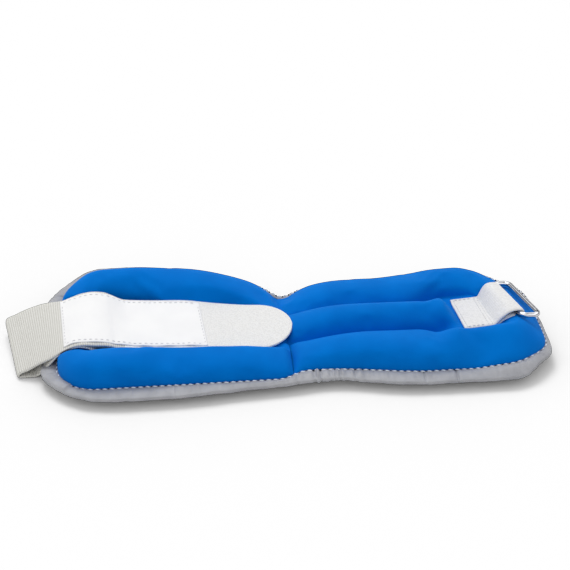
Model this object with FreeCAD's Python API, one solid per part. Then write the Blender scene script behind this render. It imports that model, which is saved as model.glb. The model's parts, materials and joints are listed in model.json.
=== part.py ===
import FreeCAD, Part
import math
import os

V = FreeCAD.Vector

# Ankle cuff weight, laid flat: a quilted, shot-filled panel with a bound edge, a
# hook-and-loop strap sewn to its left end and a strap ring on a webbing tab at its
# right end.  Millimetres.  Origin on the floor under the centre seam, +X to the ring
# end, +Y across the panel, +Z up; the liner side lies on the floor.
#
# The real panel bends anywhere.  Here it is cut across at the lines where it creases
# when it is wrapped, and each length between two lines is rigid.

# ---- driving dimensions ---------------------------------------------------------
panel_length = 300.0        # over the binding, end to end
panel_width = 122.0         # over the binding, edge to edge
binding_width = 11.0        # how far the edge tape reaches in over the panel
tape = 0.9                  # thickness of the edge tape
cover_gauge = 1.6           # foam-backed face fabric
liner_gauge = 1.5           # terry lining
liner_dip = 3.5             # how far the chambers press the liner below its seams
slack = 0.15                # between the shot and the cloth round it

roll_height = 21.0          # crest of the two outer rolls above the floor
centre_roll_height = 16.5   # crest of the middle roll
centre_seam_share = 0.4     # roll height left at the centre seam
seam_run = 34.0             # length over which the rolls drop to the centre seam
channel_half = 13.5         # half width of the middle roll
channel_land = 2.5          # sewn strip between two rolls
patch_half = 27.0           # half width of the flat place under each sewn patch
patch_land_height = 7.5     # its height above the floor
patch_start = 94.0          # where that flat place begins, from the centre seam
neck_start = 68.0           # where the outer rolls begin to narrow towards it
end_roll_width = 22.5       # roll round each end, across
left_end_height = 21.0      # crest of the left end roll
right_front_height = 21.0   # crest of the right end roll at its front corner
right_rear_height = 9.5     # ... and at its slack rear corner
round_shoulder = 0.56       # fullness of a roll's section: this much is half an ellipse
square_shoulder = 0.86      # ... and this much is nearly flat on top
dip_crest_cut = 0.8         # rolls pressed on the floor are cut flat this far from their crest
edge_flat = 0.1             # flat left on the binding's rounded outer edge
centre_tail = (             # end of the middle roll: distance from the patch's flat place,
    (-16.0, 1.0, 0.0),      # share of its half width, share of its drop to the flat place
    (-9.0, 1.0, 0.15),
    (-3.0, 1.1, 0.67),
    (1.0, 1.35, 1.0),
)
curl_rim = 12.0             # the left lobe's rear edge has curled up this far from wear
curl_start_x = 8.0          # distance from the centre seam at which the curl begins

hinge_gap = 0.3             # between two rigid lengths of the panel
hinge_lines = (0.0, 45.0, 90.0)
fit = 0.3                   # clearance between parts that move on each other

strap_width = 48.0
webbing = 1.5
strap_turn_x = -113.5       # hinge line of the strap, at its stitching
anchor_length = 18.0
strap_flat_z = 19.5         # middle of the strap where it lies along the middle roll
fold_x = -171.3             # middle of the webbing at the outermost point of the fold
fold_z = 5.0
fold_underside = (1.5, 5.5)     # lower webbing by the fold: height, length along the floor
fold_topside = (9.6, 5.0, 11.0)  # upper webbing by the fold: height, length, height there
crest_lead = 5.0            # the strap meets the end roll this far outside its crest
crest_run = (7.5, 9.5)      # level run over the end roll, of the lower and upper webbing
anchor_rise = (2.8, 9.0)    # the strap leaves its stitching this steeply: along, up
anchor_lead = 0.9
tongue_dip = (22.0, 1.0)    # behind the end roll the strap dips: distance from its crest, depth
tongue_level = (36.0, -26.0)    # level run: distance from the end roll's crest, its far end
tongue_tip = -2.0
tongue_tip_z = 12.9
tongue_corner = 17.0
label_reach = (-137.0, -54.0)
label_width = 44.0
label_gauge = 0.6
pad_reach = (-76.0, -20.0)
pad_width = 44.0
pad_gauge = 0.9

ring_wire = 3.0
ring_inside = 50.0          # along the strap's width
ring_pitch = 10.5           # between the middles of its two long bars
ring_corner = 4.0           # bend radius at the middle of the wire
ring_slope = 4.0            # degrees that the ring leans down to the right
tab_width = 45.0
tab_webbing = 1.2
tab_skew = 7.0              # degrees about Z that the patch, tab and ring are turned
tab_turn_x = 112.0          # hinge line of the tab, at its double stitching
tab_patch_length = 14.0
tab_rise = (1.0, 3.2, 1.5, 8.0)     # path up from the stitching: lead, along, over the crest, along
tab_return = 8.0            # how far the looped end comes back under the bar

# ---- worked out -----------------------------------------------------------------
stitch_x = panel_length / 2 - binding_width
stitch_y = panel_width / 2 - binding_width
corner = end_roll_width                      # corner radius at the stitching
seam_z = liner_gauge + liner_dip             # where cover and liner are sewn together
cover_top = seam_z + cover_gauge
outer_inner_edge = channel_half + channel_land
outer_half = (stitch_y - outer_inner_edge) / 2
outer_mid = outer_inner_edge + outer_half
end_half = end_roll_width / 2
end_mid_x = stitch_x - end_half
end_mid_y = stitch_y - end_half
turn_x = stitch_x - corner
turn_y = stitch_y - corner
half_gap = hinge_gap / 2
curl_fold_y = patch_half + fit               # the curl folds up beside the patch
curl_full_x = hinge_lines[2]                 # and is at its full height from here outwards
tall = roll_height * 2                       # reaches past everything, up or down

os.makedirs("parts", exist_ok=True)


def save(shape, name):
    shape.exportStep("parts/" + name + ".step")


# ---- rolls of the quilted panel --------------------------------------------------

def hump(x, middle, half, height, roundness=round_shoulder):
    """Closed section of a roll in the plane at x: a dome on the level of the seams."""
    left = V(x, middle - half, seam_z)
    right = V(x, middle + half, seam_z)
    top = V(x, middle, seam_z + height)
    side = V(0, 0, roundness * height)
    across = V(0, roundness * half, 0)
    rise = Part.BezierCurve()
    rise.setPoles([left, left + side, top - across, top])
    fall = Part.BezierCurve()
    fall.setPoles([top, top + across, right + side, right])
    dome = [rise.toBSpline().toShape(), fall.toBSpline().toShape()]
    return Part.Wire(dome + [Part.makeLine(right, left)])


def loft(stations):
    """Solid roll through sections given as (x, middle, half, height)."""
    wires = []
    for station in stations:
        wires.append(hump(*station))
    return Part.makeLoft(wires, True, False)


def level_roll(start, end, middle, half, height, roundness=round_shoulder):
    face = Part.Face(hump(start, middle, half, height, roundness))
    return face.extrude(V(end - start, 0, 0))


def rise_from_seam(start, middle, half, height, share):
    """Roll that swells from the centre seam to its full height in a quarter wave."""
    steps = 4
    stations = []
    for step in range(steps + 1):
        x = start + (seam_run - start) * step / steps
        phase = math.sin(math.pi / 2 * step / steps)
        stations.append((x, middle, half, height * (share + (1 - share) * phase)))
    return loft(stations)


def corner_roll(side, half, height):
    """Quarter turn of the roll at an outer corner, on the given side of the panel."""
    face = Part.Face(hump(0, 0, half, height))
    face.translate(V(turn_x, side * end_mid_y, 0))
    return face.revolve(V(turn_x, side * turn_y, 0), V(0, 0, 1), -90 * side)


def cross_roll(half, front_height, rear_height):
    """The roll that lies across the end, from the front corner to the rear one."""
    wires = []
    for y, height in ((-turn_y, front_height), (turn_y, rear_height)):
        wire = hump(0, 0, half, height)
        wire.rotate(V(0, 0, 0), V(0, 0, 1), -90)
        wire.translate(V(end_mid_x, y, 0))
        wires.append(wire)
    return Part.makeLoft(wires, True, True)


def side_roll(side, inset, start, full, end_height, share):
    """Outer roll of the right lobe: from the centre seam, past the patch, to the corner."""
    half = outer_half - inset
    narrow = end_half - inset
    neck = [
        (neck_start, side * outer_mid, half, full),
        ((neck_start + patch_start) / 2, side * (outer_mid + end_mid_y) / 2,
         (half + narrow) / 2, (full * 3 + end_height) / 4),
        (patch_start, side * end_mid_y, narrow, (full + end_height) / 2),
        (turn_x, side * end_mid_y, narrow, end_height),
    ]
    swell = rise_from_seam(start, side * outer_mid, half, full, share)
    body = level_roll(seam_run, neck_start, side * outer_mid, half, full)
    return swell.fuse([body, loft(neck)])


def middle_roll(inset, start, full, land, share):
    """Middle roll of the right lobe, which ends in the low flat place of the patch."""
    half = channel_half - inset
    tail = []
    for ahead, widening, drop in centre_tail:
        tail.append((patch_start + ahead, 0, half * widening, full + (land - full) * drop))
    full_to = tail[0][0]
    swell = rise_from_seam(start, 0, half, full, share)
    body = level_roll(seam_run, full_to, 0, half, full)
    flat = level_roll(patch_start - 2 + inset, turn_x - channel_land - inset, 0,
                      patch_half - inset, land, square_shoulder)
    return swell.fuse([body, loft(tail), flat])


def rolls(inset, start, crest, centre, land, front_end, rear_end, share):
    """All rolls of the right lobe in one list, drawn in by inset; heights from the seams."""
    narrow = end_half - inset
    return [
        side_roll(-1, inset, start, crest, front_end, share),
        side_roll(1, inset, start, crest, rear_end, share),
        middle_roll(inset, start, centre, land, share),
        corner_roll(-1, narrow, front_end),
        corner_roll(1, narrow, rear_end),
        cross_roll(narrow, front_end, rear_end),
    ]


def domes(inset, start, front_height, rear_height):
    """Rolls above the seams."""
    low = seam_z + inset
    return rolls(inset, start, roll_height - low, centre_roll_height - low,
                 patch_land_height - low, front_height - low, rear_height - low,
                 centre_seam_share)


def dips(inset, start, depth):
    """Chambers below the seams, all pressed to the same depth."""
    deep = -(depth + dip_crest_cut)
    shapes = rolls(inset, start, deep, deep, deep, deep, deep, 1.0)
    room = Part.makeBox(panel_length, panel_width, depth, V(0, -panel_width / 2, seam_z - depth))
    return [shape.common(room) for shape in shapes]


def sheet_over(sheet, outside, inside):
    """Cloth of even gauge: a flat sheet raised over the rolls and hollow inside them."""
    cloth = sheet
    for shape in outside:
        cloth = cloth.fuse(shape)
    for shape in inside:
        cloth = cloth.cut(shape)
    return cloth


def rounded_plate(length, width, radius, low, high):
    """Level plate with rounded corners, centred on the origin."""
    plate = Part.makeBox(length, width, high - low, V(-length / 2, -width / 2, low))
    upright = []
    for edge in plate.Edges:
        if abs(edge.Vertexes[0].Z - edge.Vertexes[1].Z) > (high - low) / 2:
            upright.append(edge)
    return plate.makeFillet(radius, upright)


def length_of_panel(shape, start, end):
    """The piece of a shape between two hinge lines, half a gap clear of each."""
    slab = Part.makeBox(end - start, panel_width * 2, tall * 2, V(start, -panel_width, -tall))
    return shape.common(slab)


def curled(shape, at_end):
    """A piece of the left lobe, drawn on the right, with its rear part sloped up beyond a
    fold. The fold runs beside the patch and, short of the end, out to the rim."""
    run = curl_full_x - curl_start_x
    reach = panel_width / 2 - curl_fold_y
    slope = curl_rim / reach
    climb = 0 if at_end else curl_rim / run
    if at_end:
        plan = [(0, 0), (panel_length, 0), (panel_length, 2 * reach), (0, 2 * reach)]
    else:
        plan = [(curl_full_x, 0), (curl_full_x, 2 * reach), (curl_full_x - 2 * run, 2 * reach)]
    corners = [V(x, curl_fold_y + y, -tall) for x, y in plan]
    beyond = Part.Face(Part.makePolygon(corners + corners[:1])).extrude(V(0, 0, 2 * tall))
    rear = shape.common(beyond)
    flat = shape.cut(beyond)
    if rear.isNull() or not rear.Solids:
        return shape
    rise = FreeCAD.Matrix()
    rise.A31 = climb
    rise.A32 = slope
    rise.A34 = -climb * curl_full_x - slope * curl_fold_y
    rear = rear.transformGeometry(rise)
    if flat.isNull() or not flat.Solids:
        return rear
    return flat.fuse(rear)


spans = {
    "inner": (hinge_lines[0] + half_gap, hinge_lines[1] - half_gap),
    "mid": (hinge_lines[1] + half_gap, hinge_lines[2] - half_gap),
    "end": (hinge_lines[2] + half_gap, panel_length),
}
end_heights = {
    "right": (right_front_height, right_rear_height),
    "left": (left_end_height, left_end_height),
}

flange_inset = tape + fit
flange = (panel_length - 2 * flange_inset, panel_width - 2 * flange_inset,
          corner + binding_width - flange_inset)
cover_sheet = rounded_plate(*flange, seam_z, cover_top)
liner_sheet = rounded_plate(*flange, seam_z - liner_gauge, seam_z)
right_half = Part.makeBox(panel_length, panel_width * 2, tall * 2, V(0, -panel_width, -tall))

tape_low = seam_z - liner_gauge - tape
tape_high = cover_top + tape
tape_round = (tape_high - tape_low - edge_flat) / 2
binding = rounded_plate(panel_length, panel_width, corner + binding_width, tape_low, tape_high)
rims = []
for edge in binding.Edges:
    if edge.BoundBox.ZLength < edge_flat:
        rims.append(edge)
binding = binding.makeFillet(tape_round, rims)
binding = binding.cut(rounded_plate(panel_length - 2 * tape, panel_width - 2 * tape,
                                    corner + binding_width - tape, seam_z - liner_gauge, cover_top))
binding = binding.cut(rounded_plate(2 * stitch_x, 2 * stitch_y, corner, 0, roll_height))

for side in ("right", "left"):
    front_height, rear_height = end_heights[side]
    cover = sheet_over(cover_sheet.common(right_half),
                       domes(0, half_gap, front_height, rear_height),
                       domes(cover_gauge, cover_gauge, front_height, rear_height))
    liner = sheet_over(liner_sheet.common(right_half),
                       dips(0, half_gap, seam_z),
                       dips(liner_gauge, liner_gauge, liner_dip))
    shot_in = cover_gauge + slack
    shot_under = liner_gauge + slack
    tops = domes(shot_in, shot_in, front_height, rear_height)
    bottoms = dips(shot_under, shot_under, liner_dip - slack)
    chambers = []
    for top, bottom in zip(tops, bottoms):
        chambers.append(top.fuse(bottom))

    pieces = {}
    for name, (start, end) in spans.items():
        pieces["cover_" + side + "_" + name] = length_of_panel(cover, start, end)
        pieces["liner_" + side + "_" + name] = length_of_panel(liner, start, end)
        edge_tape = length_of_panel(binding, start, end)
        pieces["centre_fill_" + side + "_" + name] = length_of_panel(chambers[2], start, end)
        for half, index in (("front", 0), ("rear", 1)):
            pieces["fill_" + side + "_" + name + "_" + half] = length_of_panel(
                chambers[index], start, end)
        if name == "end":
            pieces["binding_" + side + "_end"] = edge_tape
        else:
            for strip in edge_tape.Solids:
                half = "front" if strip.CenterOfMass.y < 0 else "rear"
                pieces["binding_" + side + "_" + name + "_" + half] = strip
    pieces["fill_" + side + "_end_cross"] = chambers[3].fuse([chambers[4], chambers[5]])
    for name, shape in pieces.items():
        if side == "left":
            shape = curled(shape, "_end" in name).mirror(V(0, 0, 0), V(1, 0, 0))
        save(shape, name)


# ---- webbing bent over the rolls ---------------------------------------------------

def offset_run(points, radii, offset):
    """Edges of a bent run of webbing in the XZ plane, offset to its left."""
    edges = []
    last = None
    heading = None
    for index in range(len(points)):
        here = V(points[index][0], 0, points[index][1])
        if index + 1 < len(points):
            ahead = V(points[index + 1][0], 0, points[index + 1][1]) - here
            ahead.normalize()
        else:
            ahead = heading
        left_ahead = V(-ahead.z, 0, ahead.x)
        if index == 0:
            last = here + left_ahead * offset
            heading = ahead
            continue
        left_now = V(-heading.z, 0, heading.x)
        turn = math.atan2(left_now.dot(ahead), heading.dot(ahead))
        if index + 1 == len(points) or abs(turn) < 1e-6:
            end = here + left_now * offset
            edges.append(Part.makeLine(last, end))
            last = end
            heading = ahead
            continue
        radius = radii[index - 1]
        reach = radius * math.tan(abs(turn) / 2)
        hand = 1 if turn > 0 else -1
        start = here - heading * reach
        middle = start + left_now * (radius * hand)
        towards = here - middle
        towards.normalize()
        bend = radius - hand * offset
        arc_start = start + left_now * offset
        arc_end = here + ahead * reach + left_ahead * offset
        if last.distanceToPoint(arc_start) > 1e-4:
            edges.append(Part.makeLine(last, arc_start))
        edges.append(Part.Arc(arc_start, middle + towards * bend, arc_end).toShape())
        last = arc_end
        heading = ahead
    return edges


def band(points, radii, low, high):
    """Outline of a bent strip between two offsets from its middle line."""
    upper = offset_run(points, radii, high)
    lower = offset_run(points, radii, low)
    first_up = upper[0].valueAt(upper[0].FirstParameter)
    first_low = lower[0].valueAt(lower[0].FirstParameter)
    last_up = upper[-1].valueAt(upper[-1].LastParameter)
    last_low = lower[-1].valueAt(lower[-1].LastParameter)
    caps = [Part.makeLine(first_low, first_up), Part.makeLine(last_up, last_low)]
    return Part.Wire(Part.__sortEdges__(upper + lower + caps))


def strip(points, radii, low, high, width):
    """Bent strip of the given width, centred on the middle of the panel."""
    face = Part.Face(band(points, radii, low, high))
    face.translate(V(0, -width / 2, 0))
    return face.extrude(V(0, width, 0))


def cut_to_length(shape, reach):
    low, high = reach
    box = Part.makeBox(high - low, panel_width, tall * 2, V(low, -panel_width / 2, -tall))
    return shape.common(box)


def plan_rounded(shape, tip, radius):
    """Round the two corners of a strap that ends at x = tip, seen from above."""
    length = 2 * panel_length
    plan = Part.makeBox(length, strap_width, tall * 2, V(tip - length, -strap_width / 2, -tall))
    corners = []
    for edge in plan.Edges:
        vertical = abs(edge.Vertexes[0].Z - edge.Vertexes[1].Z) > 1
        if vertical and abs(edge.Vertexes[0].X - tip) < 0.01:
            corners.append(edge)
    return shape.common(plan.makeFillet(radius, corners))


# Strap: sewn down on the left patch, led over the end roll, folded back on itself
# beyond the end and laid along the middle roll as far as the centre seam.
land_z = patch_land_height
anchor = Part.makeBox(anchor_length, strap_width, webbing,
                      V(strap_turn_x + half_gap, -strap_width / 2, land_z))
save(anchor, "strap_anchor")

over_end = left_end_height + fit + webbing / 2
back_over_end = over_end + webbing + fit
end_crest = -end_mid_x
anchor_z = land_z + webbing / 2
under_z, under_run = fold_underside
lower_points = [
    (fold_x, fold_z - half_gap),
    (fold_x, under_z),
    (fold_x + under_run, under_z),
    (end_crest - crest_lead, over_end),
    (end_crest + crest_run[0], over_end),
    (strap_turn_x - anchor_rise[0], land_z + anchor_rise[1]),
    (strap_turn_x - anchor_lead, anchor_z),
    (strap_turn_x - half_gap, anchor_z),
]
lower_radii = [3.0, 6.0, 12.0, 4.0, 12.0, 0.8]
save(strip(lower_points, lower_radii, -webbing / 2, webbing / 2, strap_width), "strap_lower")

upper_points = [
    (fold_x, fold_z + half_gap),
    (fold_x, fold_topside[0]),
    (fold_x + fold_topside[1], fold_topside[2]),
    (end_crest - crest_lead, back_over_end),
    (end_crest + crest_run[1], back_over_end),
    (end_crest + tongue_dip[0], strap_flat_z - tongue_dip[1]),
    (end_crest + tongue_level[0], strap_flat_z),
    (tongue_level[1], strap_flat_z),
    (tongue_tip, tongue_tip_z),
]
upper_radii = [3.0, 12.0, 12.0, 12.0, 16.0, 30.0, 30.0]
upper = strip(upper_points, upper_radii, -webbing / 2, webbing / 2, strap_width)
save(plan_rounded(upper, tongue_tip, tongue_corner), "strap_upper")
label = strip(upper_points, upper_radii, webbing / 2, webbing / 2 + label_gauge, label_width)
save(cut_to_length(label, label_reach), "strap_label")
pad = strip(upper_points, upper_radii, -webbing / 2 - pad_gauge, -webbing / 2, pad_width)
save(cut_to_length(pad, pad_reach), "hook_pad")

# Tab: webbing sewn down on the right patch, led over the end roll and looped round
# the inner bar of the ring.  The roll is slack at the rear, so the tab is lower there.
bar_x = end_mid_x
wire = ring_wire / 2
roll_slope = (right_rear_height - right_front_height) / (2 * turn_y)
roll_middle = (right_rear_height + right_front_height) / 2
bar_over_roll = fit + tab_webbing + fit + wire


def skewed(shape):
    shape.rotate(V(tab_turn_x, 0, 0), V(0, 0, 1), tab_skew)
    return shape


def tab_outline(y):
    """Cut through the tab at y: up from its stitching, over the roll, round the bar."""
    crest = roll_middle + roll_slope * y
    bar_z = crest + bar_over_roll
    wrap = wire + fit + tab_webbing / 2
    lead, along, over_crest, level = tab_rise
    points = [
        (tab_turn_x + half_gap, land_z + tab_webbing / 2),
        (tab_turn_x + lead, land_z + tab_webbing / 2),
        (tab_turn_x + along, crest + over_crest),
        (tab_turn_x + level, bar_z + wrap),
        (bar_x + wrap, bar_z + wrap),
        (bar_x + wrap, bar_z - wrap),
        (bar_x - tab_return, bar_z - wrap),
    ]
    radii = [0.8, 6.0, 5.0, wrap, wrap]
    outline = band(points, radii, -tab_webbing / 2, tab_webbing / 2)
    outline.translate(V(0, y, 0))
    return outline


patch = Part.makeBox(tab_patch_length, tab_width, tab_webbing,
                     V(tab_turn_x - half_gap - tab_patch_length, -tab_width / 2, land_z))
save(skewed(patch), "ring_tab_patch")
tab = Part.makeLoft([tab_outline(-tab_width / 2), tab_outline(tab_width / 2)], True, True)
save(skewed(tab), "ring_tab_loop")

ring_half = (ring_inside + ring_wire) / 2
bar = ring_half - ring_corner
short = ring_pitch - 2 * ring_corner
middles = [
    (V(0, -bar, 0), V(0, bar, 0)),
    (V(ring_corner, ring_half, 0), V(ring_corner + short, ring_half, 0)),
    (V(ring_pitch, bar, 0), V(ring_pitch, -bar, 0)),
    (V(ring_corner + short, -ring_half, 0), V(ring_corner, -ring_half, 0)),
]
bends = [V(ring_corner, bar, 0), V(ring_pitch - ring_corner, bar, 0),
         V(ring_pitch - ring_corner, -bar, 0), V(ring_corner, -bar, 0)]
lengths = []
for (start, end), bend in zip(middles, bends):
    along = end - start
    lengths.append(Part.Face(Part.Wire(Part.makeCircle(wire, start, along))).extrude(along))
    cut = Part.Face(Part.Wire(Part.makeCircle(wire, end, along)))
    lengths.append(cut.revolve(bend, V(0, 0, -1), 90))
ring = lengths[0].fuse(lengths[1:])
ring.rotate(V(0, 0, 0), V(0, 1, 0), ring_slope)
ring.rotate(V(0, 0, 0), V(1, 0, 0), math.degrees(math.atan(roll_slope)))
ring.translate(V(bar_x, 0, roll_middle + bar_over_roll))
save(skewed(ring), "strap_ring")
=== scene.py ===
import json
import math

import bmesh
import bpy
import numpy as np
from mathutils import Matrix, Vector


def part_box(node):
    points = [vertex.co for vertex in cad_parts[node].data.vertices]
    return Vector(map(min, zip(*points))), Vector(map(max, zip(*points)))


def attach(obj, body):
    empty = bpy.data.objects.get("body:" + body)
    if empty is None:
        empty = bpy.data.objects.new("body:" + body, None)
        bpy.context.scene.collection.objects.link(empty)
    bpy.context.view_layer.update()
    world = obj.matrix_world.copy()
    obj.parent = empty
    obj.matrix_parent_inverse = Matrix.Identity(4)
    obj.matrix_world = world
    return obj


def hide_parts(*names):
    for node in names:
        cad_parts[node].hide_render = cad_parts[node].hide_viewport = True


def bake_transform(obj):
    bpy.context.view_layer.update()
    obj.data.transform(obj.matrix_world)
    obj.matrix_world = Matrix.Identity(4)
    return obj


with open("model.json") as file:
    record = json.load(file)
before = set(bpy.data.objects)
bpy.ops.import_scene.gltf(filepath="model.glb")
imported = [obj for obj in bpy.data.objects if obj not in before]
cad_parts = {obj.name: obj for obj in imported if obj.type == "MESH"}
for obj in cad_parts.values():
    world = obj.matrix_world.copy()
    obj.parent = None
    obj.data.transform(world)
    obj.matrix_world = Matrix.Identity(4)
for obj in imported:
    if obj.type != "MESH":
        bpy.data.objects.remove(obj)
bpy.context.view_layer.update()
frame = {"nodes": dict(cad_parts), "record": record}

# Cover. One piece of foam-backed nylon, quilted to the liner round a chamber that runs
# along both long edges and round the end of each half, and round a second chamber down
# the middle. Both are filled with shot, and the whole is sewn across at its centre.

rim_x, rim_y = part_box("binding_right_end")[1][:2]
tape_reach = 0.011
stitch_x = rim_x - tape_reach
stitch_y = rim_y - tape_reach
stitch_corner = 0.0225
turn_x = stitch_x - stitch_corner
turn_y = stitch_y - stitch_corner
seam_z = 0.0052
channel_edge = 0.016
channel_half = 0.0135
neck = (0.068, 0.094)
inner_corner = 0.008
seam_spread = 0.0017
patch_rise = 0.0012
patch_fall, patch_level_y, patch_span = 0.0100, 0.0165, 0.0435
straight_cells, corner_cells, cross_cells, arch_cells = 56, 16, 26, 26


def ramp(value, low, high):
    """0 below low, 1 above high, and an even S between them."""
    t = np.clip((value - low) / (high - low), 0, 1)
    return t * t * (3 - 2 * t)


def band(value, start, full, fade, end):
    """1 from full to fade, and 0 before start and after end."""
    return ramp(value, start, full) * (1 - ramp(value, fade, end))


def swell(value, middle, spread):
    return np.exp(-((value - middle) / spread) ** 2)


def soft_floor(z, low, softness=0.0005):
    """Holds heights above low, with a soft bend where they meet it."""
    return low + np.log1p(np.exp((z - low) / softness)) * softness


def centre_seam(y):
    """X of the seam across the middle, which runs a little askew."""
    return -0.005 - 0.003 * ramp(y, -0.04, 0.04)


strap_half = (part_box("strap_upper")[1][1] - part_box("strap_upper")[0][1]) / 2
tip_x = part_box("strap_upper")[1][0]
strap_centre_y = -0.0025
strap_thick = 0.0015
strap_over_roll = ((-0.1465, 0.0125), (-0.1400, 0.0173), (-0.1325, 0.0202), (-0.1262, 0.0212),
                   (-0.1205, 0.0196))
strap_top = ((-0.1070, 0.0207), (-0.0990, 0.0181), (-0.0910, 0.0171), (-0.0780, 0.0162),
             (-0.0660, 0.0157), (-0.0540, 0.0145), (-0.0370, 0.0123), (-0.0230, 0.0114),
             (-0.0110, 0.0116), (tip_x, 0.0121))


def strap_twist(x):
    """How much higher the strap's rear edge stands than its middle: more and more towards
    the end roll, less over it, and more again down to the fold."""
    return (0.0011 * ramp(-x, 0.045, 0.062) + 0.0017 * ramp(-x, 0.099, 0.109)
            - 0.0020 * ramp(-x, 0.116, 0.133) + 0.0024 * ramp(-x, 0.133, 0.148))


def held_down(points):
    """The strap presses the panel down where it lies on it."""
    x, y, z = points[:, 0], points[:, 1], points[:, 2]
    line = np.array(strap_over_roll + strap_top)
    limit = np.interp(x, line[:, 0], line[:, 1]) - strap_thick / 2 - 0.0007
    limit = limit + strap_twist(x) * (y - strap_centre_y) / strap_half
    off = np.abs(y - strap_centre_y)
    limit = limit + 0.014 * ramp(off, strap_half - 0.0006, strap_half + 0.0085)
    limit = limit + 0.03 * ramp(x, tip_x - 0.004, tip_x + 0.004) + 0.03 * ramp(-x, 0.150, 0.156)
    out = points.copy()
    out[:, 2] = -soft_floor(-z, -limit)
    return out


front_rim_in, front_rim_in_left, front_roll_in = 0.0085, 0.0035, 0.0070
rear_in, rear_seam_in = 0.0085, 0.0115
corner_in, corner_worn = 0.0082, 0.0035
end_sag, end_lift = 0.0050, 0.0025
curl_height = 0.0108
tab_hollow, seam_dip = 0.0030, 0.0022


def drawn_in(x, y):
    """The centre seam gathers both long edges and draws them in, and the corners are pulled
    in by wear. The right end's roll sags out over its seam instead."""
    rim = front_rim_in * swell(x, 0.017, 0.030) + front_rim_in_left * swell(x, -0.030, 0.028)
    roll = front_roll_in * band(x, -0.014, 0.004, 0.012, 0.075)
    front = roll * ramp(-y, 0.016, 0.050) + (rim - roll) * ramp(-y, 0.050, 0.061)
    rear = rear_in * band(x, -0.030, 0.010, 0.050, 0.092) + rear_seam_in * swell(x, -0.005, 0.012)
    rear = rear * (0.72 * ramp(y, 0.012, 0.050) + 0.28 * ramp(y, 0.050, 0.061))
    corner = corner_in * ramp(x, 0.095, 0.150) * ramp(y, 0.005, 0.058)
    worn = corner_worn * ramp(-x, 0.105, 0.150) * ramp(y, 0.010, 0.050)
    sag = end_sag * band(x, 0.105, stitch_x, stitch_x, rim_x)
    sag = sag * (1 - ramp(y, 0.022, 0.045)) * (1 - ramp(-y, 0.034, 0.052))
    return sag - corner + worn, front - rear - corner - worn


def raised(x, y, z):
    """The left half's rear edge still curls up from being worn. The end's roll is full and
    slopes to the front; it gives way under the ring tab and where the centre seam ends."""
    above = ramp(z, 0.002, 0.006)
    beyond = ramp(np.maximum(x - stitch_x, np.abs(y) - stitch_y), 0, tape_reach)
    lift = end_lift * ramp(x, 0.095, 0.125) * (1 - beyond)
    slope = patch_fall * np.clip((patch_level_y - y) / patch_span, 0, 1) * ramp(x, 0.078, 0.094)
    slope = slope * (1 - ramp(-y, 0.0275, 0.050)) * (1 - ramp(x, turn_x, stitch_x))
    hollow = tab_hollow * swell(x, 0.1185, 0.0038) * band(y, -0.033, -0.026, 0.024, 0.030)
    flat = (1 - ramp(y, 0.002, 0.062)) * (1 - ramp(-x, 0.128, 0.146) * ramp(y, -0.006, 0.022))
    curl = curl_height * ramp(-x, 0.008, 0.095) * (1 - flat)
    curl = curl * (1 - 0.25 * ramp(-x, 0.122, 0.145))
    dip = seam_dip * swell(x, -0.006, 0.007) * ramp(y, 0.028, 0.050)
    return curl + (lift + slope - hollow - dip) * above


def lie(points):
    """How the panel lies."""
    x, y, z = points.T
    across, along = drawn_in(x, y)
    return held_down(np.c_[x + across, y + along, z + raised(x, y, z)])


def unit(vectors):
    return vectors / np.linalg.norm(vectors, axis=-1, keepdims=True)


def seams_of_half(side):
    """Plan of one half's outer chamber: the points of its outer and of its inner seam, from
    the centre along the front edge, round the end and back along the rear edge."""
    t = np.linspace(0, 1, straight_cells + 1)
    outer, inner = [], []

    def along(y_sign, reverse):
        start = centre_seam(y_sign * turn_y) * side
        x_out = start + (turn_x - start) * t
        x_in = start + (turn_x - inner_corner - start) * t
        half = channel_edge + (turn_y - channel_edge) * ramp(x_in, *neck)
        o = np.c_[x_out, np.full_like(t, y_sign * stitch_y)]
        i = np.c_[x_in, y_sign * half]
        return (o[::-1], i[::-1]) if reverse else (o, i)

    def corner(first, last, y_sign):
        a = np.radians(np.linspace(first, last, corner_cells + 1))[1:]
        o = np.c_[turn_x + stitch_corner * np.cos(a), y_sign * turn_y + stitch_corner * np.sin(a)]
        i = np.c_[turn_x - inner_corner + inner_corner * np.cos(a),
                  y_sign * (turn_y - inner_corner) + inner_corner * np.sin(a)]
        return o, i

    across = np.linspace(-1, 1, cross_cells + 1)[1:]
    cross = (np.c_[np.full_like(across, stitch_x), across * turn_y],
             np.c_[np.full_like(across, turn_x), across * (turn_y - inner_corner)])
    back_o, back_i = along(1, True)
    for o, i in (along(-1, False), corner(-90, 0, -1), cross, corner(0, 90, 1),
                 (back_o[1:], back_i[1:])):
        outer.append(o)
        inner.append(i)
    outer, inner = np.vstack(outer), np.vstack(inner)
    outer[:, 0] *= side
    inner[:, 0] *= side
    return outer, inner


right_front_roll, right_front_fall = 0.0150, 0.0058
right_rear_roll, right_rear_fall = 0.0108, 0.0072
left_front_roll, left_front_crest, left_front_slack = 0.0155, 0.0022, 0.0012
left_rear_roll, left_rear_fall = 0.0160, 0.0020
right_middle_roll = 0.0146
left_middle_roll, left_middle_swell = 0.0042, 0.0050


def risen(run, share, reach):
    """A roll rises to its height at reach from the centre seam, from a share of it there."""
    return share + (1 - share) * np.sin(np.pi / 2 * np.clip(run / reach, 0, 1))


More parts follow.
